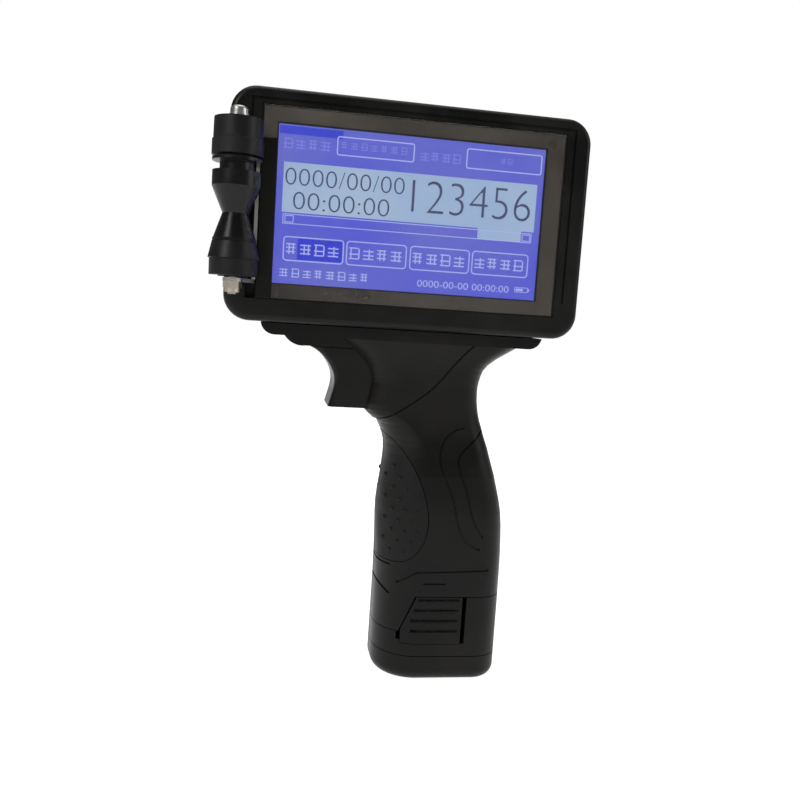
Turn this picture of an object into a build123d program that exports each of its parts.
from build123d import *

import os

# Hand-held date code inkjet printer: pistol grip, touch screen head, encoder roller, side-loaded cartridge.
#
# Frame: millimetres, +Z up, origin at the centre of the battery's flat underside. -X is the printing front,
# -Y is the side that carries the screen, and the grip halves meet in the plane Y = 0.

os.makedirs("parts", exist_ok=True)

# ---------------------------------------------------------------- driving dimensions
# fits
GAP = 0.3                # between pieces that move past each other
SEAT = 0.2               # between pieces that are only put together
RUNNING = 0.05           # radial clearance of a shaft in its bore

# screen head
HEAD_WIDTH = 128.0       # along X
HEAD_HEIGHT = 79.0       # along Z
HEAD_DEPTH = 14.0        # front cover, along Y
HEAD_X = -22.2           # middle of the head
HEAD_Z = 174.0
HEAD_RADIUS = 9.0        # corners seen from the front
HEAD_EDGE = 2.2          # rounding around the front face
HEAD_WALL = 2.2
FRONT_Y = -25.0          # front face of the head
BACK_PLATE = 2.4         # thickness of the display back cover

# display
GLASS_WIDTH = 107.4
GLASS_HEIGHT = 65.0
GLASS_THICKNESS = 1.2
GLASS_X = -21.5          # middle of the glass
GLASS_Z = 175.0
GLASS_SINK = 0.2         # glass below the cover's face
PICTURE_X = -22.3        # middle of the lit picture
PICTURE_WIDTH = 95.0
PICTURE_HEIGHT = 53.9
PANEL_WIDTH = 102.6
PANEL_HEIGHT = 63.0
PANEL_THICKNESS = 3.2
GROOVE_WIDTH = 0.9
GROOVE_DEPTH = 0.7
GROOVE_LEFT = 3.6        # groove outside the glass, on each side
GROOVE_RIGHT = 3.1
GROOVE_ABOVE = 1.8

# encoder roller and its bracket
ROLLER_X = -82.9
ROLLER_Y = -31.5
ROLLER_TOP = 200.1
WHEEL_RADIUS = 8.5       # the largest part of the roller
AXLE_RADIUS = 1.5
AXLE_HEAD_RADIUS = 3.0
AXLE_HEAD_HEIGHT = 2.7
STRAP = 1.2              # steel thickness of the bracket
STRAP_WIDTH = 6.6
WEB_X = -76.2            # middle of the bracket's web
NUT_ACROSS = 5.5
NUT_HEIGHT = 3.6
DISC_RADIUS = 8.2
DISC_THICKNESS = 1.0

# strip that covers the encoder beside the glass
STRIP_WIDTH = 5.4
STRIP_TOP = 196.4
STRIP_PROUD = 0.5

# rear body behind the head
BODY_LEFT = -73.1
BODY_RIGHT = 30.7
BODY_BOTTOM = 130.0
BODY_TOP = 206.0
BODY_BACK = 26.0
BODY_WALL = 2.4
SLAB_FRONT = -20.0       # the shelf under the head
SLAB_RADIUS = 5.0

# cartridge and its bay, which opens towards +Y
CART_LENGTH = 62.0
CART_HEIGHT = 56.0
CART_THICKNESS = 20.6
CART_REAR = -19.4
CART_BOTTOM = 143.6
CART_SIDE = 2.8          # the cartridge's inner side, along Y
SNOUT_LENGTH = 3.9
SNOUT_FOOT = 4.0         # the nozzle end starts this far above the cartridge's bottom
CONTACT_SPACE = 18.0     # front of the cartridge above its nozzle end, where the contacts lie
SNOUT_WIDTH = 13.2
BAY_WALL = 1.8
STALL_SHEET = 0.9
FACE_PLATE = 0.8

# grip
GRIP_WALL = 2.6
PAD_THICKNESS = 1.5
LINE_DEPTH = 0.6
LINE_WIDTH = 0.8
LOBE_HALF_WIDTH = 12.0

# trigger
TRIGGER_WIDTH = 22.0
TRIGGER_BOTTOM = 104.0
TRIGGER_TOP = 126.0
TRIGGER_TRAVEL = 5.0
SPRING_RADIUS = 2.6
SPRING_WIRE = 0.5
TRIGGER_EDGE = 1.8       # rounding of the finger face's long edges

# battery
PACK_LENGTH = 48.5
PACK_DEPTH = 39.0
PACK_CAP_TOP = 10.3      # top of the base cap
PACK_REAR_TOP = 33.6     # parting line at the rear
PACK_FRONT_TOP = 19.3    # parting line at the front
PACK_WALL = 2.2
PACK_FOOT_ROUND = 4.6    # rounding under the base cap
TOWER_TOP = 71.0
TOWER_WALL = 1.1
CELL_RADIUS = 9.1
CELL_HEIGHT = 65.0
CELL_SPACING = 18.8
CELL_X = -1.0
LATCH_THICKNESS = 2.2
LATCH_SWING = 5.0        # free depth behind each latch
LATCH_LEFT = -15.2
LATCH_RIGHT = 8.0
LATCH_ROOT = 15.2
LATCH_SLOPE_TOP = -10.0  # where the sloping edge meets the latch's top

# screws
SCREW_RADIUS = 1.25
SCREW_HEAD_RADIUS = 2.4
SCREW_HEAD_HEIGHT = 1.6

# ---------------------------------------------------------------- derived places
HEAD_BACK_Y = FRONT_Y + HEAD_DEPTH
PLATE_BACK_Y = HEAD_BACK_Y + BACK_PLATE
HEAD_LEFT = HEAD_X - HEAD_WIDTH / 2
HEAD_BOTTOM = HEAD_Z - HEAD_HEIGHT / 2
GLASS_LEFT = GLASS_X - GLASS_WIDTH / 2
GLASS_RIGHT = GLASS_X + GLASS_WIDTH / 2
GLASS_BOTTOM = GLASS_Z - GLASS_HEIGHT / 2
GLASS_TOP = GLASS_Z + GLASS_HEIGHT / 2
PICTURE_LEFT = PICTURE_X - PICTURE_WIDTH / 2
PANEL_FRONT_Y = FRONT_Y + HEAD_WALL + SEAT
CART_FRONT = CART_REAR - CART_LENGTH
SNOUT_TIP = CART_FRONT - SNOUT_LENGTH
CART_TOP = CART_BOTTOM + CART_HEIGHT
SNOUT_HEIGHT = CART_HEIGHT - SNOUT_FOOT - CONTACT_SPACE
BAY_LEFT = SNOUT_TIP - GAP
BAY_RIGHT = CART_REAR + 1.0
BAY_BOTTOM = CART_BOTTOM - STALL_SHEET - 2 * GAP
BAY_TOP = CART_TOP + STALL_SHEET + 2 * GAP
BAY_FLOOR = CART_SIDE - STALL_SHEET - 2 * GAP
MID_Y = (CART_SIDE + CART_SIDE + CART_THICKNESS) / 2
HALF_PACK = PACK_DEPTH / 2


def save(builder, name):
    """Label a finished piece and write its STEP file."""
    builder.part.label = name
    export_step(builder.part, f"parts/{name}.step")


# ================================================================ screen head
# Heights below the roller's top where its outline changes, and the radius there.
UPPER_CORE = 6.0
LOWER_CORE = 6.2
NECK_RADIUS = 5.7
WAIST_RADIUS = 4.25
ROLLER_HEIGHT = 51.2
SPOOL_OUTLINE = [
    (0.0, UPPER_CORE), (12.0, UPPER_CORE), (12.0, NECK_RADIUS), (16.9, NECK_RADIUS), (16.9, 8.0), (21.8, 8.0),
    (30.4, WAIST_RADIUS), (38.6, 7.0), (38.6, 7.2), (39.6, 7.2), (39.6, LOWER_CORE), (50.8, LOWER_CORE),
    (50.8, 5.0), (ROLLER_HEIGHT, 5.0),
]
DISC_TOP = 12.7
UPPER_TYRE = [(0.0, 8.0), (6.8, 8.1), (7.0, 8.45), (11.9, 8.45)]
LOWER_TYRE = [(39.7, 7.3), (45.2, WHEEL_RADIUS), (45.4, 8.0), (50.8, 7.95)]
BOSS_INSET = 5.0
BOSSES = [
    (HEAD_X + sx * (HEAD_WIDTH / 2 - BOSS_INSET), HEAD_Z + sz * (HEAD_HEIGHT / 2 - BOSS_INSET))
    for sx in (-1, 1)
    for sz in (-1, 1)
]
BOSS_RADIUS = 2.7
ARM_BOTTOM = ROLLER_TOP - ROLLER_HEIGHT - GAP - STRAP          # underside of the lower bracket arm
ARM_TOP = ROLLER_TOP + GAP + STRAP                    # upper side of the upper arm
POCKET_RIGHT = WEB_X + STRAP / 2 + 0.1
POCKET_BOTTOM = ARM_BOTTOM - 0.6
POCKET_TOP = ARM_TOP + 0.6
POCKET_DEPTH = ROLLER_Y + WHEEL_RADIUS - FRONT_Y + 1.4
SLOT_LEFT = POCKET_RIGHT - 3.4
SLOT_BOTTOM = GLASS_BOTTOM - 0.2
SLOT_DEPTH = 8.0
POCKET_WALL = 1.2


def front_slab(left, right, bottom, top, depth, start=0.0):
    """Box cut into (or built behind) the head's front face; depth runs towards +Y from the face."""
    with BuildPart() as block:
        with BuildSketch(Plane.XZ.offset(-FRONT_Y - start)):
            with Locations(((left + right) / 2, (bottom + top) / 2)):
                Rectangle(right - left, top - bottom)
        extrude(amount=-depth)
    return block.part


with BuildPart() as front_cover:
    with BuildSketch(Plane.XZ.offset(-FRONT_Y)):
        with Locations((HEAD_X, HEAD_Z)):
            RectangleRounded(HEAD_WIDTH, HEAD_HEIGHT, HEAD_RADIUS)
    extrude(amount=-HEAD_DEPTH)
    fillet(front_cover.faces().sort_by(Axis.Y)[0].edges(), radius=HEAD_EDGE)
    with BuildSketch(Plane.XZ.offset(-FRONT_Y - HEAD_WALL)):
        with Locations((HEAD_X, HEAD_Z)):
            RectangleRounded(HEAD_WIDTH - 2 * HEAD_WALL, HEAD_HEIGHT - 2 * HEAD_WALL, HEAD_RADIUS - HEAD_WALL)
    extrude(amount=-HEAD_DEPTH, mode=Mode.SUBTRACT)
    # posts for the screws that hold the back cover
    with BuildSketch(Plane.XZ.offset(-HEAD_BACK_Y)):
        with Locations(*BOSSES):
            Circle(BOSS_RADIUS)
    extrude(amount=HEAD_DEPTH - HEAD_WALL)
    # walls of the encoder pocket, then the pocket and the slot for the bracket's web
    add(front_slab(HEAD_LEFT + HEAD_WALL / 2, POCKET_RIGHT + POCKET_WALL, SLOT_BOTTOM - POCKET_WALL,
                   POCKET_TOP + POCKET_WALL, POCKET_DEPTH + POCKET_WALL, HEAD_EDGE))
    add(front_slab(SLOT_LEFT - POCKET_WALL, POCKET_RIGHT + POCKET_WALL, SLOT_BOTTOM - POCKET_WALL,
                   POCKET_TOP + POCKET_WALL, SLOT_DEPTH + POCKET_WALL, HEAD_EDGE))
    add(front_slab(HEAD_LEFT - 1, POCKET_RIGHT, POCKET_BOTTOM, POCKET_TOP, POCKET_DEPTH), mode=Mode.SUBTRACT)
    add(front_slab(SLOT_LEFT, POCKET_RIGHT, SLOT_BOTTOM, POCKET_TOP, SLOT_DEPTH), mode=Mode.SUBTRACT)
    # seat for the glass and the window behind it
    add(front_slab(POCKET_RIGHT - 0.1, GLASS_RIGHT + SEAT, GLASS_BOTTOM - SEAT, GLASS_TOP + SEAT,
                   GLASS_SINK + GLASS_THICKNESS + SEAT), mode=Mode.SUBTRACT)
    add(front_slab(PICTURE_LEFT - 1, PICTURE_LEFT + PICTURE_WIDTH + 1, GLASS_Z - PICTURE_HEIGHT / 2 - 1,
                   GLASS_Z + PICTURE_HEIGHT / 2 + 1, HEAD_WALL + 1), mode=Mode.SUBTRACT)
    # decorative groove around the glass on three sides
    with BuildSketch(Plane.XZ.offset(-FRONT_Y)):
        with BuildLine():
            Polyline(
                (GLASS_LEFT - GROOVE_LEFT, POCKET_TOP + 0.5),
                (GLASS_LEFT - GROOVE_LEFT, GLASS_TOP + GROOVE_ABOVE),
                (GLASS_RIGHT + GROOVE_RIGHT, GLASS_TOP + GROOVE_ABOVE),
                (GLASS_RIGHT + GROOVE_RIGHT, GLASS_BOTTOM + 5),
            )
        trace(line_width=GROOVE_WIDTH)
    extrude(amount=-GROOVE_DEPTH, mode=Mode.SUBTRACT)
    # screw pilot holes
    with BuildSketch(Plane.XZ.offset(-HEAD_BACK_Y)):
        with Locations(*BOSSES):
            Circle(SCREW_RADIUS)
    extrude(amount=8.0, mode=Mode.SUBTRACT)
save(front_cover, "front_cover")

STRIP_LEFT = POCKET_RIGHT + 0.1
STRIP_RIGHT = STRIP_LEFT + STRIP_WIDTH

with BuildPart() as touch_glass:
    with BuildSketch(Plane.XZ.offset(-FRONT_Y - GLASS_SINK)):
        with Locations((GLASS_X, GLASS_Z)):
            RectangleRounded(GLASS_WIDTH, GLASS_HEIGHT, 0.8)
        with BuildLine():
            Polyline((GLASS_LEFT - 1, GLASS_BOTTOM - 1), (STRIP_RIGHT + SEAT, GLASS_BOTTOM - 1),
                     (STRIP_RIGHT + SEAT, STRIP_TOP + SEAT), (GLASS_LEFT - 1, STRIP_TOP + SEAT), close=True)
        make_face(mode=Mode.SUBTRACT)
    extrude(amount=-GLASS_THICKNESS)
save(touch_glass, "touch_glass")

with BuildPart() as encoder_cover:
    with BuildSketch(Plane.XZ.offset(-FRONT_Y + STRIP_PROUD)):
        with Locations(((STRIP_LEFT + STRIP_RIGHT) / 2, (STRIP_TOP + GLASS_BOTTOM) / 2)):
            Rectangle(STRIP_WIDTH, STRIP_TOP - GLASS_BOTTOM)
    extrude(amount=-(STRIP_PROUD + GLASS_SINK + GLASS_THICKNESS))
    fillet(encoder_cover.faces().sort_by(Axis.Y)[0].edges(), radius=0.3)
save(encoder_cover, "encoder_cover")

with BuildPart() as lcd_panel:
    with BuildSketch(Plane.XZ.offset(-PANEL_FRONT_Y)):
        with Locations((PICTURE_X, GLASS_Z)):
            RectangleRounded(PANEL_WIDTH, PANEL_HEIGHT, 0.6)
    extrude(amount=-PANEL_THICKNESS)
save(lcd_panel, "lcd_panel")

FRAME_BACK = PANEL_FRONT_Y + PANEL_THICKNESS + SEAT
FRAME_SHEET = 0.8
BOARD_STANDOFF = 3.2
BOARD_THICK = 1.6

with BuildPart() as display_frame:
    with BuildSketch(Plane.XZ.offset(-FRAME_BACK)):
        with Locations((PICTURE_X, GLASS_Z)):
            Rectangle(PANEL_WIDTH, PANEL_HEIGHT)
            Rectangle(PANEL_WIDTH - 16, PANEL_HEIGHT - 16, mode=Mode.SUBTRACT)
    extrude(amount=-FRAME_SHEET)
    with BuildSketch(Plane.XZ.offset(-FRAME_BACK - FRAME_SHEET)):
        with Locations((PICTURE_X, GLASS_Z)):
            with GridLocations(PANEL_WIDTH - 12, PANEL_HEIGHT - 12, 2, 2):
                Circle(2.0)
    extrude(amount=-(BOARD_STANDOFF - FRAME_SHEET))
save(display_frame, "display_frame")

with BuildPart() as display_board:
    with BuildSketch(Plane.XZ.offset(-FRAME_BACK - BOARD_STANDOFF)):
        with Locations((PICTURE_X, GLASS_Z)):
            Rectangle(PANEL_WIDTH - 4, PANEL_HEIGHT - 4)
            with GridLocations(PANEL_WIDTH - 12, PANEL_HEIGHT - 12, 2, 2):
                Circle(1.2, mode=Mode.SUBTRACT)
    extrude(amount=-BOARD_THICK)
    with BuildSketch(Plane.XZ.offset(-FRAME_BACK - BOARD_STANDOFF)):
        with Locations((PICTURE_X - 24, GLASS_Z + 4)):
            Rectangle(14, 14)
        with Locations((PICTURE_X + 6, GLASS_Z + 8)):
            Rectangle(9, 12)
        with Locations((PICTURE_X + 26, GLASS_Z - 14)):
            Rectangle(20, 5)
    extrude(amount=1.4)
save(display_board, "display_board")

with BuildPart() as display_back_cover:
    with BuildSketch(Plane.XZ.offset(-HEAD_BACK_Y)):
        with Locations((HEAD_X, HEAD_Z)):
            RectangleRounded(HEAD_WIDTH, HEAD_HEIGHT, HEAD_RADIUS)
    extrude(amount=-BACK_PLATE)
    fillet(display_back_cover.faces().sort_by(Axis.Y)[-1].edges(), radius=1.6)
    with BuildSketch(Plane.XZ.offset(-HEAD_BACK_Y)):
        with Locations(*BOSSES):
            Circle(SCREW_RADIUS + SEAT)
        with Locations((GLASS_X, GLASS_Z)):
            Rectangle(24, 8)
    extrude(amount=-BACK_PLATE, mode=Mode.SUBTRACT)
    with BuildSketch(Plane.XZ.offset(-PLATE_BACK_Y)):
        with Locations(*BOSSES):
            Circle(SCREW_HEAD_RADIUS + SEAT)
    extrude(amount=SCREW_HEAD_HEIGHT, mode=Mode.SUBTRACT)
save(display_back_cover, "display_back_cover")


def screws_along_y(places, head_y, length):
    """Pan-head screws whose heads face +Y, one solid each."""
    with BuildPart() as screws:
        with BuildSketch(Plane.XZ.offset(-head_y)):
            with Locations(*places):
                Circle(SCREW_HEAD_RADIUS)
        extrude(amount=SCREW_HEAD_HEIGHT - 0.1)
        chamfer(screws.faces().sort_by(Axis.Y)[-len(places):].edges(), length=0.35)
        with BuildSketch(Plane.XZ.offset(-head_y)):
            with Locations(*places):
                Circle(SCREW_RADIUS)
        extrude(amount=length)
        with BuildSketch(Plane.XZ.offset(-head_y)):
            with Locations(*places):
                Rectangle(2.2, 0.6)
                Rectangle(0.6, 2.2)
        extrude(amount=0.8, mode=Mode.SUBTRACT)
    return screws


housing_screws = screws_along_y(BOSSES, PLATE_BACK_Y, 7.5)
save(housing_screws, "housing_screws")

# ================================================================ encoder roller
def turned(outline, inner):
    """Ring turned about the roller's axis, from (depth below the top, radius) and an inner radius."""
    points = [(radius, -depth) for depth, radius in outline]
    with BuildPart() as ring:
        with BuildSketch(Plane((ROLLER_X, ROLLER_Y, ROLLER_TOP), x_dir=(1, 0, 0), z_dir=(0, -1, 0))):
            with BuildLine():
                Polyline((inner, points[0][1]), *points, (inner, points[-1][1]), close=True)
            make_face()
        revolve(axis=Axis((ROLLER_X, ROLLER_Y, 0), (0, 0, 1)))
    return ring


roller_spool = turned(SPOOL_OUTLINE, AXLE_RADIUS + RUNNING)
save(roller_spool, "roller_spool")
upper_tyre = turned(UPPER_TYRE, UPPER_CORE)
save(upper_tyre, "upper_tyre")
lower_tyre = turned(LOWER_TYRE, LOWER_CORE)
save(lower_tyre, "lower_tyre")
encoder_disc = turned([(DISC_TOP, DISC_RADIUS), (DISC_TOP + DISC_THICKNESS, DISC_RADIUS)], NECK_RADIUS)
save(encoder_disc, "encoder_disc")

WEB_FRONT = FRONT_Y + 0.4


def bracket_arm(level):
    """One flat arm of the bracket, from the web to the rounded end around the axle."""
    with BuildPart() as arm:
        with BuildSketch(Plane.XY.offset(level)):
            with Locations((ROLLER_X, ROLLER_Y)):
                Circle(STRAP_WIDTH / 2)
            with BuildLine():
                Polyline(
                    (ROLLER_X - STRAP_WIDTH / 2, ROLLER_Y),
                    (ROLLER_X + STRAP_WIDTH / 2, ROLLER_Y),
                    (WEB_X + STRAP / 2, WEB_FRONT),
                    (WEB_X + STRAP / 2, WEB_FRONT + 5),
                    (WEB_X - STRAP / 2, WEB_FRONT + 5),
                    close=True,
                )
            make_face()
            with Locations((ROLLER_X, ROLLER_Y)):
                Circle(AXLE_RADIUS + SEAT / 2, mode=Mode.SUBTRACT)
        extrude(amount=STRAP)
    return arm.part


with BuildPart() as roller_bracket:
    add(bracket_arm(ARM_BOTTOM))
    add(bracket_arm(ARM_TOP - STRAP))
    with BuildSketch(Plane.YZ.offset(WEB_X - STRAP / 2)):
        with Locations(((WEB_FRONT + FRONT_Y + SLOT_DEPTH - 0.5) / 2, (ARM_BOTTOM + ARM_TOP) / 2)):
            Rectangle(SLOT_DEPTH - 0.5 - (WEB_FRONT - FRONT_Y), ARM_TOP - ARM_BOTTOM)
    extrude(amount=STRAP)
save(roller_bracket, "roller_bracket")

with BuildPart() as roller_axle:
    with BuildSketch(Plane.XY.offset(ARM_TOP)):
        with Locations((ROLLER_X, ROLLER_Y)):
            Circle(AXLE_HEAD_RADIUS)
    extrude(amount=AXLE_HEAD_HEIGHT)
    fillet(roller_axle.faces().sort_by(Axis.Z)[-1].edges(), radius=1.2)
    with BuildSketch(Plane.XY.offset(ARM_TOP)):
        with Locations((ROLLER_X, ROLLER_Y)):
            Circle(AXLE_RADIUS)
    extrude(amount=-(ARM_TOP - ARM_BOTTOM + NUT_HEIGHT + 0.6))
    with BuildSketch(Plane.XY.offset(ARM_TOP + AXLE_HEAD_HEIGHT)):
        with Locations((ROLLER_X, ROLLER_Y)):
            RegularPolygon(1.2, 6)
    extrude(amount=-1.1, mode=Mode.SUBTRACT)
save(roller_axle, "roller_axle")

with BuildPart() as roller_nut:
    with BuildSketch(Plane.XY.offset(ARM_BOTTOM)):
        with Locations((ROLLER_X, ROLLER_Y)):
            RegularPolygon(NUT_ACROSS / 2, 6, major_radius=False, rotation=12)
            Circle(AXLE_RADIUS, mode=Mode.SUBTRACT)
    extrude(amount=-NUT_HEIGHT * 0.62)
    with BuildSketch(Plane.XY.offset(ARM_BOTTOM - NUT_HEIGHT * 0.62)):
        with Locations((ROLLER_X, ROLLER_Y)):
            Circle(NUT_ACROSS / 2 - 0.2)
            Circle(AXLE_RADIUS, mode=Mode.SUBTRACT)
    extrude(amount=-NUT_HEIGHT * 0.38)
save(roller_nut, "roller_nut")

with BuildPart() as encoder_sensor:
    add(front_slab(SLOT_LEFT + 0.4, WEB_X - STRAP / 2 - SEAT,
                   ROLLER_TOP - DISC_TOP - 9.5, ROLLER_TOP - DISC_TOP - 2.4,
                   SLOT_DEPTH - 1.0 - POCKET_DEPTH, POCKET_DEPTH + 0.4))
save(encoder_sensor, "encoder_sensor")

# ================================================================ rear body, cartridge bay and print face
LEVER_X = -13.4
LEVER_Y = BODY_BACK - 1.4
LEVER_LOW = 165.0
LEVER_HIGH = 177.0
LEVER_PIN_RADIUS = 1.25
HUB_RADIUS = 3.0
EAR = 3.6


def block(x0, x1, y0, y1, z0, z1):
    """Plain box between two corners."""
    with BuildPart() as solid:
        with BuildSketch(Plane.XY.offset(z0)):
            with Locations(((x0 + x1) / 2, (y0 + y1) / 2)):
                Rectangle(x1 - x0, y1 - y0)
        extrude(amount=z1 - z0)
    return solid.part


BUTTON_Y = 8.0
BUTTON_Z = 188.0
BUTTON_RADIUS = 5.0
BUTTON_TRAVEL = 1.2
USB_Z = 168.0
USB_Y = 9.0
USB_WIDTH = 13.2
USB_THICK = 5.8
JACK_Z = 149.0
JACK_Y = 9.0
JACK_SIZE = 9.0

with BuildPart() as rear_body:
    with BuildSketch(Plane.XZ.offset(-PLATE_BACK_Y)):
        with Locations(((BODY_LEFT + BODY_RIGHT) / 2, (BODY_BOTTOM + BODY_TOP) / 2)):
            RectangleRounded(BODY_RIGHT - BODY_LEFT, BODY_TOP - BODY_BOTTOM, SLAB_RADIUS)
    extrude(amount=-(BODY_BACK - PLATE_BACK_Y))
    fillet(rear_body.faces().sort_by(Axis.Y)[-1].edges(), radius=2.5)
    # shelf under the head, with the same rounded lower corners
    with BuildSketch(Plane.XZ.offset(-PLATE_BACK_Y)) as shelf_sketch:
        with Locations(((BODY_LEFT + BODY_RIGHT) / 2, (BODY_BOTTOM + BODY_TOP) / 2)):
            RectangleRounded(BODY_RIGHT - BODY_LEFT, BODY_TOP - BODY_BOTTOM, SLAB_RADIUS)
        with Locations(((BODY_LEFT + BODY_RIGHT) / 2, HEAD_BOTTOM - 0.4 + 50)):
            Rectangle(BODY_RIGHT - BODY_LEFT + 2, 100, mode=Mode.SUBTRACT)
    extrude(amount=PLATE_BACK_Y - SLAB_FRONT)
    # hollow for the boards, open towards the head
    with BuildSketch(Plane.XZ.offset(-PLATE_BACK_Y)):
        with Locations(((BODY_LEFT + BODY_RIGHT) / 2, (HEAD_BOTTOM + BODY_TOP) / 2)):
            RectangleRounded(BODY_RIGHT - BODY_LEFT - 2 * BODY_WALL,
                             BODY_TOP - HEAD_BOTTOM - 2 * BODY_WALL, 3)
    extrude(amount=-(BODY_BACK - BODY_WALL - PLATE_BACK_Y), mode=Mode.SUBTRACT)
    # cartridge bay
    add(block(BAY_LEFT, BAY_RIGHT + BAY_WALL, BAY_FLOOR - BAY_WALL, BODY_BACK, BAY_BOTTOM - BAY_WALL,
              BAY_TOP + BAY_WALL))
    add(block(CART_FRONT - 3.4, BAY_RIGHT, BAY_FLOOR, BODY_BACK + 1, BAY_BOTTOM, BAY_TOP), mode=Mode.SUBTRACT)
    add(block(BAY_LEFT - 1, CART_FRONT, MID_Y - SNOUT_WIDTH / 2 - 1, BODY_BACK + 1,
              CART_BOTTOM + SNOUT_FOOT - 1.5, CART_BOTTOM + SNOUT_FOOT + 1.5 + SNOUT_HEIGHT),
        mode=Mode.SUBTRACT)
    # opening and ears for the clamp lever
    for low, high in ((LEVER_LOW - GAP - EAR, LEVER_LOW - GAP), (LEVER_HIGH + GAP, LEVER_HIGH + GAP + EAR)):
        add(block(LEVER_X - 4, LEVER_X + 4, LEVER_Y - 5, LEVER_Y + 3.4, low, high))
    add(block(CART_REAR, LEVER_X + 5, LEVER_Y - 9, BODY_BACK + 4, LEVER_LOW - GAP, LEVER_HIGH + GAP),
        mode=Mode.SUBTRACT)
    with BuildSketch(Plane.XY.offset(LEVER_LOW - GAP - EAR - 1)):
        with Locations((LEVER_X, LEVER_Y)):
            Circle(LEVER_PIN_RADIUS)
    extrude(amount=LEVER_HIGH - LEVER_LOW + 2 * (GAP + EAR) + 2, mode=Mode.SUBTRACT)
    # openings at the rear end for the button, the data port and the charging socket
    with BuildSketch(Plane.YZ.offset(BODY_RIGHT + 1)):
        with Locations((BUTTON_Y, BUTTON_Z)):
            Circle(BUTTON_RADIUS + GAP)
        with Locations((USB_Y, USB_Z)):
            Rectangle(USB_THICK + 2 * SEAT, USB_WIDTH + 2 * SEAT)
        with Locations((JACK_Y, JACK_Z)):
            Rectangle(JACK_SIZE + 2 * SEAT, JACK_SIZE + 2 * SEAT)
    extrude(amount=-(BODY_WALL + 2), mode=Mode.SUBTRACT)
    # cable passage into the grip
    add(block(-20, 0, -6, 6, BODY_BOTTOM - 1, HEAD_BOTTOM + BODY_WALL + 1), mode=Mode.SUBTRACT)
save(rear_body, "rear_body")

with BuildPart() as print_face_plate:
    add(block(BAY_LEFT - FACE_PLATE, BAY_LEFT, BAY_FLOOR - BAY_WALL, BODY_BACK, BAY_BOTTOM - BAY_WALL,
              BAY_TOP + BAY_WALL))
    add(block(BAY_LEFT - FACE_PLATE - 1, BAY_LEFT + 1,
              MID_Y - SNOUT_WIDTH / 2 + 2, MID_Y + SNOUT_WIDTH / 2 - 2,
              CART_BOTTOM + SNOUT_FOOT + 2.5, CART_BOTTOM + SNOUT_FOOT - 2.5 + SNOUT_HEIGHT),
        mode=Mode.SUBTRACT)
    fillet(print_face_plate.edges().filter_by(Axis.X).group_by(Axis.Z)[0], radius=2)
    fillet(print_face_plate.edges().filter_by(Axis.X).group_by(Axis.Z)[-1], radius=2)
save(print_face_plate, "print_face_plate")

with BuildPart() as cartridge_stall:
    stall_left = CART_FRONT - 2.6
    add(block(stall_left, BAY_RIGHT - SEAT, BAY_FLOOR + SEAT, BAY_FLOOR + SEAT + STALL_SHEET,
              BAY_BOTTOM + SEAT, BAY_TOP - SEAT))
    for low in (BAY_BOTTOM + SEAT, BAY_TOP - SEAT - STALL_SHEET):
        add(block(stall_left, BAY_RIGHT - 2.2, BAY_FLOOR + SEAT, BODY_BACK - 3, low, low + STALL_SHEET))
save(cartridge_stall, "cartridge_stall")

with BuildPart() as ink_cartridge:
    add(block(CART_FRONT, CART_REAR, CART_SIDE, CART_SIDE + CART_THICKNESS, CART_BOTTOM, CART_TOP))
    fillet(ink_cartridge.edges().filter_by(Axis.Y), radius=2.5)
    fillet(ink_cartridge.faces().sort_by(Axis.Y)[-1].edges(), radius=0.8)
    add(block(SNOUT_TIP, CART_FRONT, MID_Y - SNOUT_WIDTH / 2, MID_Y + SNOUT_WIDTH / 2,
              CART_BOTTOM + SNOUT_FOOT, CART_BOTTOM + SNOUT_FOOT + SNOUT_HEIGHT))
    # finger recess and ribs on the side that is seen when loading
    with BuildSketch(Plane.XZ.offset(-(CART_SIDE + CART_THICKNESS))):
        with Locations((CART_REAR - 12, (CART_BOTTOM + CART_TOP) / 2)):
            with GridLocations(3.0, 0, 5, 1):
                SlotOverall(26, 1.3, rotation=90)
    extrude(amount=1.0, mode=Mode.SUBTRACT)
save(ink_cartridge, "ink_cartridge")

with BuildPart() as nozzle_plate:
    add(block(SNOUT_TIP - 0.15, SNOUT_TIP, MID_Y - 3.6, MID_Y + 3.6,
              CART_BOTTOM + SNOUT_FOOT + 4, CART_BOTTOM + SNOUT_FOOT - 4 + SNOUT_HEIGHT))
save(nozzle_plate, "nozzle_plate")

with BuildPart() as contact_board:
    board_low = CART_BOTTOM + SNOUT_FOOT + SNOUT_HEIGHT + 3
    add(block(CART_FRONT - 3.2, CART_FRONT - 2.0, MID_Y - 6, MID_Y + 6, board_low, board_low + 11))
    with BuildSketch(Plane.YZ.offset(CART_FRONT - 2.0)):
        with Locations((MID_Y, board_low + 5.5)):
            with GridLocations(2.6, 2.6, 4, 3):
                Circle(0.55)
    extrude(amount=1.5)
save(contact_board, "contact_board")

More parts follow.
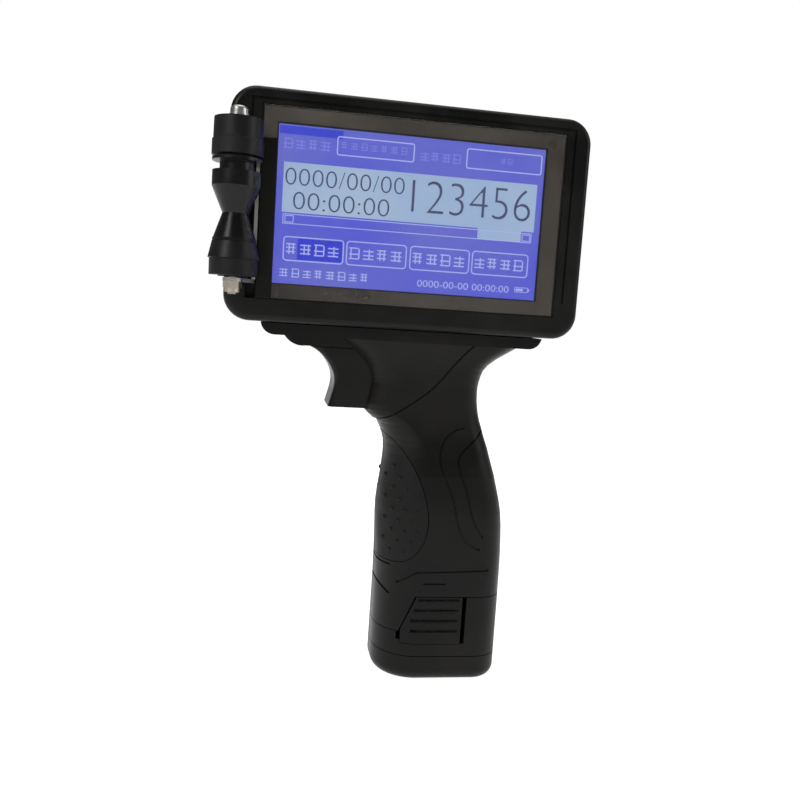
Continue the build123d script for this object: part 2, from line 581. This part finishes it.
with BuildPart() as clamp_lever:
    with BuildSketch(Plane.XY.offset(LEVER_LOW)):
        with Locations((LEVER_X, LEVER_Y)):
            Circle(HUB_RADIUS)
        with BuildLine():
            Polyline((LEVER_X, LEVER_Y + 0.4), (LEVER_X, BODY_BACK + GAP), (LEVER_X + 22, BODY_BACK + GAP),
                     (LEVER_X + 24, BODY_BACK + GAP + 2.2), (LEVER_X + 1, BODY_BACK + GAP + 2.2),
                     (LEVER_X - 1, LEVER_Y + HUB_RADIUS - 0.2), close=True)
        make_face()
        with BuildLine():
            Polyline((CART_REAR + GAP, LEVER_Y - 1.7), (LEVER_X, LEVER_Y - 1.7), (LEVER_X, LEVER_Y + 0.8),
                     (CART_REAR + GAP, LEVER_Y + 0.8), close=True)
        make_face()
        with Locations((LEVER_X, LEVER_Y)):
            Circle(LEVER_PIN_RADIUS + RUNNING, mode=Mode.SUBTRACT)
    extrude(amount=LEVER_HIGH - LEVER_LOW)
save(clamp_lever, "clamp_lever")

with BuildPart() as lever_pin:
    with BuildSketch(Plane.XY.offset(LEVER_LOW - GAP - EAR)):
        with Locations((LEVER_X, LEVER_Y)):
            Circle(LEVER_PIN_RADIUS)
    extrude(amount=LEVER_HIGH - LEVER_LOW + 2 * (GAP + EAR))
save(lever_pin, "lever_pin")

# ================================================================ boards and controls in the rear body
BOARD_Y = -5.6
POWER_BOARD_Y = 17.0

with BuildPart() as main_board:
    add(block(BODY_LEFT + 12, BODY_RIGHT - 4, BOARD_Y, BOARD_Y + BOARD_THICK, 141, BODY_TOP - 9))
    for x0, z0, width, height in (
        (-52, 160, 16, 16), (-28, 158, 10, 14), (-10, 170, 12, 12), (-55, 184, 22, 6),
    ):
        add(block(x0, x0 + width, BOARD_Y - 1.3, BOARD_Y, z0, z0 + height))
save(main_board, "main_board")

with BuildPart() as power_board:
    add(block(-6, BODY_RIGHT - BODY_WALL - 1, POWER_BOARD_Y, POWER_BOARD_Y + BOARD_THICK, 142, BODY_TOP - 9))
    add(block(-3, 7, POWER_BOARD_Y - 6, POWER_BOARD_Y, 144, 154))
    add(block(-2, 6, POWER_BOARD_Y - 4, POWER_BOARD_Y, 184, 192))
save(power_board, "power_board")

with BuildPart() as buzzer:
    with BuildSketch(Plane.XZ.offset(-POWER_BOARD_Y)):
        with Locations((2, 168)):
            Circle(4.5)
    extrude(amount=6)
save(buzzer, "buzzer")

with BuildPart() as power_button:
    with BuildSketch(Plane.YZ.offset(BODY_RIGHT - BODY_WALL)):
        with Locations((BUTTON_Y, BUTTON_Z)):
            Circle(BUTTON_RADIUS)
    extrude(amount=BODY_WALL + 1.6)
    fillet(power_button.faces().sort_by(Axis.X)[-1].edges(), radius=0.7)
    with BuildSketch(Plane.YZ.offset(BODY_RIGHT - BODY_WALL - GAP)):
        with Locations((BUTTON_Y, BUTTON_Z)):
            Circle(BUTTON_RADIUS + 1.2)
    extrude(amount=-1.0)
    with BuildSketch(Plane.YZ.offset(BODY_RIGHT - BODY_WALL)):
        with Locations((BUTTON_Y, BUTTON_Z)):
            Circle(1.6)
    extrude(amount=-3.0)
save(power_button, "power_button")

with BuildPart() as power_switch:
    reach = BODY_RIGHT - BODY_WALL - 3.0 - BUTTON_TRAVEL - GAP
    add(block(reach - 5, reach, BUTTON_Y - 3, POWER_BOARD_Y, BUTTON_Z - 3, BUTTON_Z + 3))
save(power_switch, "power_switch")

with BuildPart() as usb_port:
    with BuildSketch(Plane.YZ.offset(BODY_RIGHT - 13.5)):
        with Locations((USB_Y, USB_Z)):
            RectangleRounded(USB_THICK, USB_WIDTH, 0.5)
    extrude(amount=13.9)
    with BuildSketch(Plane.YZ.offset(BODY_RIGHT + 0.4)):
        with Locations((USB_Y, USB_Z)):
            Rectangle(USB_THICK - 0.8, USB_WIDTH - 0.8)
        with Locations((USB_Y + 1.2, USB_Z)):
            Rectangle(1.6, USB_WIDTH - 2.4, mode=Mode.SUBTRACT)
    extrude(amount=-10.0, mode=Mode.SUBTRACT)
    add(block(BODY_RIGHT - 13.5, BODY_RIGHT - 6, USB_Y + USB_THICK / 2 - 0.2, POWER_BOARD_Y,
              USB_Z - 5, USB_Z + 5))
save(usb_port, "usb_port")

with BuildPart() as charging_socket:
    add(block(BODY_RIGHT - 12, BODY_RIGHT + 0.3, JACK_Y - JACK_SIZE / 2, JACK_Y + JACK_SIZE / 2,
              JACK_Z - JACK_SIZE / 2, JACK_Z + JACK_SIZE / 2))
    with BuildSketch(Plane.YZ.offset(BODY_RIGHT + 0.3)):
        with Locations((JACK_Y, JACK_Z)):
            Circle(3.1)
            Circle(1.0, mode=Mode.SUBTRACT)
    extrude(amount=-9.0, mode=Mode.SUBTRACT)
    add(block(BODY_RIGHT - 12, BODY_RIGHT - 5, JACK_Y + JACK_SIZE / 2 - 0.2, POWER_BOARD_Y,
              JACK_Z - 3, JACK_Z + 3))
save(charging_socket, "charging_socket")

# ================================================================ grip
# Height, front edge, rear edge, half depth and front corner radius of the grip's
# cross-sections, from the foot up.
PACK_FRONT_ROUND = 16.5
STATIONS = [
    (PACK_FRONT_TOP + GAP, -PACK_LENGTH / 2, PACK_LENGTH / 2, HALF_PACK, PACK_FRONT_ROUND),
    (36.0, -24.2, 24.2, HALF_PACK, PACK_FRONT_ROUND),
    (50.0, -24.4, 24.0, HALF_PACK, PACK_FRONT_ROUND),
    (66.0, -24.9, 22.8, 19.2, 16.4),
    (80.0, -23.6, 19.3, 18.1, 15.6),
    (90.5, -23.4, 15.9, 16.7, 14.0),
    (98.5, -26.6, 13.0, 15.8, 11.0),
    (104.0, -32.2, 11.3, 15.5, 8.5),
    (110.0, -31.6, 10.5, 15.5, 8.0),
    (116.0, -31.0, 10.8, 15.6, 8.0),
    (122.5, -34.4, 13.7, 16.3, 9.0),
    (BODY_BOTTOM, -43.5, 24.5, 18.4, 12.0),
]
REAR_ROUND = 0.52        # rear corner radius as a share of the half depth


SLICES = 3               # bands between two neighbouring cross-sections


def smooth(values, band, share):
    """Value between two entries of a list, on a curve that runs smoothly through all of them."""
    start, end = values[band], values[band + 1]
    slope_in = (end - values[band - 1]) / 2 if band else end - start
    slope_out = (values[band + 2] - start) / 2 if band + 2 < len(values) else end - start
    bend = 2 * (start - end) + slope_in + slope_out
    return start + share * (slope_in + share * (end - start - slope_in - bend + share * bend))


def grip_section(band, share):
    """Height, front edge, rear edge, half depth and front corner radius between two stations."""
    heights, *sizes = zip(*STATIONS)
    level = heights[band] + share * (heights[band + 1] - heights[band])
    return [level] + [smooth(column, band, share) for column in sizes]


SECTIONS = [grip_section(band, step / SLICES) for band in range(len(STATIONS) - 1) for step in range(SLICES)]
SECTIONS.append(list(STATIONS[-1]))


def grip_form(inset, sections=SECTIONS):
    """Solid through the grip's cross-sections, every one of them smaller by the inset all round."""
    with BuildPart() as form:
        for height, front, rear, half, front_round in sections:
            with BuildSketch(Plane.XY.offset(height)) as section:
                with Locations(((front + rear) / 2, 0)):
                    Rectangle(rear - front - 2 * inset, 2 * (half - inset))
                fillet(section.vertices().group_by(Axis.X)[0], radius=front_round - inset)
                fillet(section.vertices().group_by(Axis.X)[-1], radius=REAR_ROUND * half - inset)
        loft(ruled=True)
    return form.part


def side_prism(*outline, reach=40):
    """Prism of a closed XZ outline that runs right through the grip from side to side."""
    with BuildPart() as prism:
        with BuildSketch(Plane.XZ):
            with BuildLine():
                Polyline(*outline, close=True)
            make_face()
        extrude(amount=reach, both=True)
    return prism.part


GRIP_INNER = grip_form(GRIP_WALL, STATIONS)

# the rubber pad's edge, from its top at the front round to its foot
PAD_EDGE = [
    (-27.0, 96.0), (-17.3, 87.8), (-11.7, 78.5), (-8.2, 67.8),
    (-7.7, 59.5), (-11.6, 50.2), (-20.6, 46.4),
]


def pad_prism(grow):
    """Prism of the pad's side view, with its edge moved outwards by a clearance."""
    top, *middle, foot = PAD_EDGE
    with BuildPart() as prism:
        with BuildSketch(Plane.XZ):
            with BuildLine():
                edge = Spline((top[0], top[1] + grow), *[(x + grow, z) for x, z in middle],
                              (foot[0], foot[1] - grow))
                Polyline(edge @ 1, (-40, foot[1] - grow), (-40, top[1] + grow), edge @ 0)
            make_face()
        extrude(amount=40, both=True)
    return prism.part


# raised panel of the upper grip: everything above and in front of this sloping edge
STEP_LINE = [
    (9.0, BODY_BOTTOM + 3), (-2.1, 121.3), (-9.8, 112.1),
    (-15.2, 107.9), (-21.0, 103.9), (-34.0, 98.4),
]
STEP_HEIGHT = 1.0
REAR_LINE_OUTER = [
    (4.6, 98.6), (-2.1, 94.8), (-4.3, 87.5), (-2.2, 80.0),
    (1.5, 71.6), (4.7, 60.0), (13.1, 52.5),
]
REAR_LINE_INNER = [(12.4, 97.6), (7.0, 92.5), (3.1, 87.4), (5.9, 76.7), (9.6, 64.3), (14.1, 57.3)]
SHOULDER_LINE = [(-17.7, 38.6), (-10.8, 43.3), (17.5, 44.4)]
SHOULDER_RIB = [(-7.8, 39.0), (0.7, 39.0)]
FRONT_LINE = [(-30.0, 41.0), (-20.0, 33.4)]
PAD_FOOT_SLOT = [(-26.0, 44.9), (-20.2, 44.9)]

with BuildPart() as surface_lines:
    with BuildSketch(Plane.XZ):
        for bend in (REAR_LINE_OUTER, REAR_LINE_INNER, STEP_LINE):
            with BuildLine():
                Spline(*bend)
            trace(line_width=LINE_WIDTH)
        for run in (SHOULDER_LINE, SHOULDER_RIB, FRONT_LINE, PAD_FOOT_SLOT):
            with BuildLine():
                Polyline(*run)
            trace(line_width=LINE_WIDTH)
    extrude(amount=40, both=True)
    add(grip_form(LINE_DEPTH), mode=Mode.SUBTRACT)

with BuildPart() as raised_panel:
    with BuildSketch(Plane.XZ):
        with BuildLine():
            step = Spline(*STEP_LINE)
            Polyline(step @ 1, (-90.0, STEP_LINE[-1][1]), (-90.0, STEP_LINE[0][1]), step @ 0)
        make_face()
    extrude(amount=40, both=True)
    add(grip_form(-STEP_HEIGHT), mode=Mode.INTERSECT)

with BuildPart() as lobe:
    with BuildSketch(Plane.XZ):
        with BuildLine():
            bow = ThreePointArc((-64.5, BODY_BOTTOM), (-61.6, 127.2), (-56.5, TRIGGER_TOP + GAP))
            Polyline(bow @ 1, (-30, TRIGGER_TOP + GAP), (-30, BODY_BOTTOM), bow @ 0)
        make_face()
    extrude(amount=LOBE_HALF_WIDTH, both=True)
    with BuildSketch(Plane.XY.offset(TRIGGER_TOP)):
        with Locations((-64.5 / 2 - 15, 0)):
            RectangleRounded(64.5 - 30, 2 * LOBE_HALF_WIDTH, 6)
    extrude(amount=BODY_BOTTOM - TRIGGER_TOP, mode=Mode.INTERSECT)

# screw posts that join the grip halves, as (x, z)
POSTS = [(-12.0, 97.0), (5.0, 120.0), (-3.0, 88.0)]
POST_RADIUS = 3.4
SCREW_FACE_Y = 11.5
SPRING_Z = 121.0
SPRING_SEAT_X = -12.0

with BuildPart() as cavity:
    add(GRIP_INNER)
    add(block(-80, 40, -30, 30, BODY_BOTTOM - GRIP_WALL, BODY_BOTTOM + 5), mode=Mode.SUBTRACT)
    with BuildSketch(Plane.XZ):
        with Locations(*POSTS):
            Circle(POST_RADIUS)
    extrude(amount=30, both=True, mode=Mode.SUBTRACT)
    # rib that the trigger spring pushes against
    add(block(SPRING_SEAT_X, SPRING_SEAT_X + 2, -30, 30, SPRING_Z - 4, SPRING_Z + 4), mode=Mode.SUBTRACT)
    add(block(-80, -24, -TRIGGER_WIDTH / 2 - GAP, TRIGGER_WIDTH / 2 + GAP,
              TRIGGER_BOTTOM - GAP, TRIGGER_TOP + GAP))
    add(block(-8, 4, -6, 6, BODY_BOTTOM - 5, BODY_BOTTOM + 1))

with BuildPart() as grip_shell:
    add(grip_form(0.0))
    add(raised_panel.part)
    add(lobe.part)
    add(cavity.part, mode=Mode.SUBTRACT)
    # the foot is stepped, lower in front than behind
    add(side_prism((LATCH_LEFT - 0.9, 0), (LATCH_LEFT - 0.9, PACK_FRONT_TOP + GAP),
                   (LATCH_SLOPE_TOP - 0.6, PACK_REAR_TOP + GAP), (40, PACK_REAR_TOP + GAP), (40, 0)),
        mode=Mode.SUBTRACT)
    add(surface_lines.part, mode=Mode.SUBTRACT)

with BuildPart() as pad_recess:
    add(pad_prism(GAP))
    add(grip_form(PAD_THICKNESS), mode=Mode.SUBTRACT)

HOLLOW_GRIP = grip_shell.part - pad_recess.part


def grip_half(side, keep):
    """One half of the grip: -1 is the screen side, which takes the threads, and +1 the side of the heads."""
    with BuildPart() as holes:
        with BuildSketch(Plane.XZ):
            with Locations(*POSTS):
                Circle(SCREW_RADIUS)
        extrude(amount=9.0 if side < 0 else -30.0)
        if side > 0:
            with BuildSketch(Plane.XZ.offset(-SCREW_FACE_Y)):
                with Locations(*POSTS):
                    Circle(SCREW_HEAD_RADIUS + SEAT)
            extrude(amount=-20)
    with BuildPart() as half:
        add(HOLLOW_GRIP.split(Plane.XZ, keep=keep) - holes.part)
    return half


handle_left = grip_half(-1, Keep.TOP)
save(handle_left, "handle_left")
handle_right = grip_half(1, Keep.BOTTOM)
save(handle_right, "handle_right")

SCREW_SEAT_Y = SCREW_FACE_Y + SCREW_HEAD_HEIGHT
handle_screws = screws_along_y(POSTS, SCREW_SEAT_Y, SCREW_SEAT_Y + 7.0)
save(handle_screws, "handle_screws")

DOT_RADIUS = 0.9
DOT_PROUD = 0.45
DOT_PITCH_X = 4.6
DOT_PITCH_Z = 4.0


def grip_surface_y(x, z):
    """Half depth of the grip's surface at a place of its side view."""
    low, high = next(pair for pair in zip(SECTIONS, SECTIONS[1:]) if pair[0][0] <= z <= pair[1][0])
    share = (z - low[0]) / (high[0] - low[0])
    front, _, half, corner = (a + (b - a) * share for a, b in zip(low[1:], high[1:]))
    reach = max(0.0, front + corner - x)
    return half - corner + (corner ** 2 - reach ** 2) ** 0.5


def pad_edge_x(z):
    """Right-hand edge of the pad at a height, between the points of its outline."""
    low, high = next(pair for pair in zip(PAD_EDGE[1:], PAD_EDGE[2:]) if pair[1][1] <= z <= pair[0][1])
    return low[0] + (high[0] - low[0]) * (z - low[1]) / (high[1] - low[1])


DOTS = [
    (x, z)
    for row in range(9)
    for column in range(5)
    for z in [50.5 + row * DOT_PITCH_Z]
    for x in [-11.4 - column * DOT_PITCH_X - (row % 2) * DOT_PITCH_X / 2]
    if -23.0 < x < pad_edge_x(z) - 2.2
]

with BuildPart() as front_grip_pad:
    add(grip_form(0.0))
    add(pad_prism(0.0), mode=Mode.INTERSECT)
    add(grip_form(PAD_THICKNESS - 0.02), mode=Mode.SUBTRACT)
    dot_centres = [
        (x, side * (grip_surface_y(x, z) + DOT_PROUD - DOT_RADIUS), z) for x, z in DOTS for side in (-1, 1)
    ]
    with Locations(*dot_centres):
        Sphere(DOT_RADIUS)
save(front_grip_pad, "front_grip_pad")

# ================================================================ trigger
FLANGE_X = -25.0
FLANGE_HALF = TRIGGER_WIDTH / 2 + 1.4
SPRING_POCKET = 7.0

with BuildPart() as trigger:
    with BuildSketch(Plane.XZ):
        with BuildLine():
            face = Spline((-54.4, TRIGGER_TOP), (-47.9, 120.8), (-45.1, 114.0), (-45.9, 108.2),
                          (-47.0, TRIGGER_BOTTOM))
            Polyline(face @ 1, (FLANGE_X, TRIGGER_BOTTOM), (FLANGE_X, TRIGGER_TOP), face @ 0)
        make_face()
    extrude(amount=TRIGGER_WIDTH / 2, both=True)
    sides = trigger.faces().sort_by(Axis.Y)
    fillet([side.edges().sort_by(Axis.X)[0] for side in (sides[0], sides[-1])], radius=TRIGGER_EDGE)
    add(block(FLANGE_X, FLANGE_X + 1.6, -FLANGE_HALF, FLANGE_HALF, TRIGGER_BOTTOM + 0.6, TRIGGER_TOP - 0.6))
    with BuildSketch(Plane.YZ.offset(FLANGE_X + 1.6)):
        with Locations((0, SPRING_Z)):
            Circle(SPRING_RADIUS + SPRING_WIRE + 0.4)
    extrude(amount=-SPRING_POCKET, mode=Mode.SUBTRACT)
save(trigger, "trigger")

SPRING_START = FLANGE_X + 1.6 - SPRING_POCKET + SPRING_WIRE + 0.1
SPRING_END = SPRING_SEAT_X - SPRING_WIRE - 0.1
SPRING_TURNS = 7

with BuildPart() as trigger_spring:
    with BuildLine():
        coil = Helix(pitch=(SPRING_END - SPRING_START) / SPRING_TURNS, height=SPRING_END - SPRING_START,
                     radius=SPRING_RADIUS, center=(SPRING_START, 0, SPRING_Z), direction=(1, 0, 0))
    with BuildSketch(Plane(origin=coil @ 0, z_dir=coil % 0)):
        Circle(SPRING_WIRE / 2)
    sweep(path=coil, is_frenet=True)
save(trigger_spring, "trigger_spring")

SWITCH_FRONT = FLANGE_X + 1.6 + TRIGGER_TRAVEL + SEAT

with BuildPart() as trigger_switch:
    add(block(SWITCH_FRONT + 1.4, SWITCH_FRONT + 18, -3.2, 3.2, 105.5, 114.5))
    add(block(SWITCH_FRONT, SWITCH_FRONT + 1.4, -1.5, 1.5, 111.0, 113.5))
    for x in (SWITCH_FRONT + 4, SWITCH_FRONT + 14):
        add(block(x - 0.3, x + 0.3, -1.6, 1.6, 102.5, 105.5))
save(trigger_switch, "trigger_switch")

# ================================================================ battery
def pack_slice(inset, low, high):
    """Upright block of the battery's outline in plan, smaller by the inset."""
    with BuildPart() as body:
        with BuildSketch(Plane.XY.offset(low)) as outline:
            Rectangle(PACK_LENGTH - 2 * inset, 2 * (HALF_PACK - inset))
            fillet(outline.vertices().group_by(Axis.X)[0], radius=PACK_FRONT_ROUND - inset)
            fillet(outline.vertices().group_by(Axis.X)[-1], radius=REAR_ROUND * HALF_PACK - inset)
        extrude(amount=high - low)
    return body.part


def cell_slice(grow, low, high):
    """Upright block around the cells, larger by the given amount."""
    with BuildPart() as body:
        with BuildSketch(Plane.XY.offset(low)):
            with Locations((CELL_X, 0)):
                SlotCenterToCenter(CELL_SPACING, 2 * (CELL_RADIUS + grow))
        extrude(amount=high - low)
    return body.part


CAP_TOP = PACK_CAP_TOP - GAP
CELL_BOTTOM = 3.4

with BuildPart() as battery_base_cap:
    add(pack_slice(0.0, 0.0, CAP_TOP))
    fillet(battery_base_cap.faces().sort_by(Axis.Z)[0].edges(), radius=PACK_FOOT_ROUND)
    add(pack_slice(PACK_WALL, CELL_BOTTOM - 0.4, CAP_TOP + 1), mode=Mode.SUBTRACT)
    add(pack_slice(PACK_WALL - 0.9, CAP_TOP - 0.01, PACK_CAP_TOP))
    add(pack_slice(PACK_WALL, CAP_TOP - 1, PACK_CAP_TOP + 1), mode=Mode.SUBTRACT)
save(battery_base_cap, "battery_base_cap")

LATCH_OUTLINE = [
    (LATCH_LEFT, LATCH_ROOT), (LATCH_RIGHT, LATCH_ROOT), (LATCH_RIGHT, PACK_REAR_TOP),
    (LATCH_SLOPE_TOP, PACK_REAR_TOP), (LATCH_LEFT, PACK_FRONT_TOP + 1.6),
]
SLOT_WIDTH = 1.5
DECK = 2.0

with BuildPart() as battery_case:
    add(pack_slice(0.0, PACK_CAP_TOP, PACK_REAR_TOP))
    add(pack_slice(PACK_WALL, PACK_CAP_TOP - 1, PACK_FRONT_TOP - DECK), mode=Mode.SUBTRACT)
    add(pack_slice(PACK_WALL, PACK_CAP_TOP - 1, PACK_REAR_TOP - DECK)
        & side_prism((LATCH_LEFT + DECK, 0), (LATCH_LEFT + DECK, PACK_FRONT_TOP - DECK),
                     (LATCH_SLOPE_TOP + DECK, PACK_REAR_TOP - DECK), (40, PACK_REAR_TOP - DECK), (40, 0)),
        mode=Mode.SUBTRACT)
    add(side_prism((-40, PACK_FRONT_TOP), (LATCH_LEFT - 0.6, PACK_FRONT_TOP),
                   (LATCH_SLOPE_TOP - 0.3, PACK_REAR_TOP),
                   (LATCH_SLOPE_TOP - 0.3, 50), (-40, 50)), mode=Mode.SUBTRACT)
    add(cell_slice(TOWER_WALL + SEAT, PACK_FRONT_TOP - DECK, TOWER_TOP))
    add(cell_slice(SEAT, PACK_CAP_TOP - 2, CELL_BOTTOM + CELL_HEIGHT + 1.0), mode=Mode.SUBTRACT)
    # windows for the latch tongues and the slots at their roots
    window = HALF_PACK - LATCH_THICKNESS - LATCH_SWING
    for low_y, high_y in ((-30, -window), (window, 30)):
        with BuildSketch(Plane.XZ.offset(-low_y)):
            with BuildLine():
                Polyline(*LATCH_OUTLINE, close=True)
            make_face()
            offset(amount=SEAT)
            with BuildLine():
                Polyline((LATCH_LEFT - SEAT, PACK_FRONT_TOP + 2), (LATCH_LEFT - 4, PACK_REAR_TOP + 2),
                         (LATCH_RIGHT + 0.1, PACK_REAR_TOP + 2), (LATCH_RIGHT + 0.1, PACK_REAR_TOP - 2),
                         (LATCH_LEFT, PACK_FRONT_TOP), close=True)
            make_face()
            with Locations((LATCH_RIGHT + SLOT_WIDTH / 2 + 0.1, (LATCH_ROOT + PACK_REAR_TOP) / 2 + 1)):
                Rectangle(SLOT_WIDTH, PACK_REAR_TOP - LATCH_ROOT + 2)
            with Locations((LATCH_LEFT - SLOT_WIDTH / 2, LATCH_ROOT + 3.2)):
                Rectangle(SLOT_WIDTH, 4.0)
        extrude(amount=low_y - high_y, mode=Mode.SUBTRACT)
    with BuildSketch(Plane.XY.offset(TOWER_TOP)):
        with Locations((CELL_X, 0)):
            with GridLocations(7.0, 0, 3, 1):
                Rectangle(2.4, 7.4)
    extrude(amount=-10, mode=Mode.SUBTRACT)
save(battery_case, "battery_case")

with BuildPart() as battery_cells:
    with BuildSketch(Plane.XY.offset(CELL_BOTTOM)):
        with Locations((CELL_X, 0)):
            with GridLocations(CELL_SPACING, 0, 2, 1):
                Circle(CELL_RADIUS)
    extrude(amount=CELL_HEIGHT)
    chamfer(battery_cells.faces().sort_by(Axis.Z)[-2:].edges(), length=0.6)
save(battery_cells, "battery_cells")

RIB_HEIGHTS = [PACK_REAR_TOP - 1.4 - 4.1 * n for n in range(4)]
RIB_PROUD = 0.9
RIB_HALF_HEIGHT = 0.6


def latch_tongue(side):
    """Sprung tongue on one side of the battery, -1 or +1, with four grip ribs."""
    with BuildPart() as tongue:
        add(pack_slice(0.0, LATCH_ROOT, PACK_REAR_TOP))
        add(pack_slice(LATCH_THICKNESS, LATCH_ROOT - 1, PACK_REAR_TOP + 1), mode=Mode.SUBTRACT)
        with BuildSketch(Plane.XZ):
            with BuildLine():
                Polyline(*LATCH_OUTLINE, close=True)
            make_face()
        extrude(amount=-side * 40, mode=Mode.INTERSECT)
        for level in RIB_HEIGHTS:
            drop = (PACK_REAR_TOP - level) / (PACK_REAR_TOP - PACK_FRONT_TOP)
            slope = drop * (LATCH_SLOPE_TOP - LATCH_LEFT)
            rib_left = max(LATCH_SLOPE_TOP - slope + 1.2, -PACK_LENGTH / 2 + PACK_FRONT_ROUND - 4)
            with BuildSketch(Plane.YZ.offset(rib_left)):
                with Locations((side * HALF_PACK, level)):
                    Ellipse(RIB_PROUD, RIB_HALF_HEIGHT)
            extrude(amount=LATCH_RIGHT - 1.4 - rib_left)
    return tongue


battery_latch_left = latch_tongue(-1)
save(battery_latch_left, "battery_latch_left")
battery_latch_right = latch_tongue(1)
save(battery_latch_right, "battery_latch_right")

CLIP_TOP = TOWER_TOP - 0.3

with BuildPart() as battery_contacts:
    with BuildSketch(Plane.XY.offset(CLIP_TOP)):
        with Locations((CELL_X, 0)):
            with GridLocations(7.0, 0, 3, 1):
                Rectangle(2.2, 7.2)
                Rectangle(1.0, 7.4, mode=Mode.SUBTRACT)
    extrude(amount=-(CLIP_TOP - CELL_BOTTOM - CELL_HEIGHT - 1.2))
save(battery_contacts, "battery_contacts")

with BuildPart() as terminal_block:
    add(block(CELL_X - 12, CELL_X + 12, -12, 12, TOWER_TOP + 1.0, TOWER_TOP + 6.0))
    for offset_x in (-7.0, 0.0, 7.0):
        add(block(CELL_X + offset_x - 0.35, CELL_X + offset_x + 0.35, -3.0, 3.0,
                  TOWER_TOP - 1.0, TOWER_TOP + 1.0))
save(terminal_block, "terminal_block")
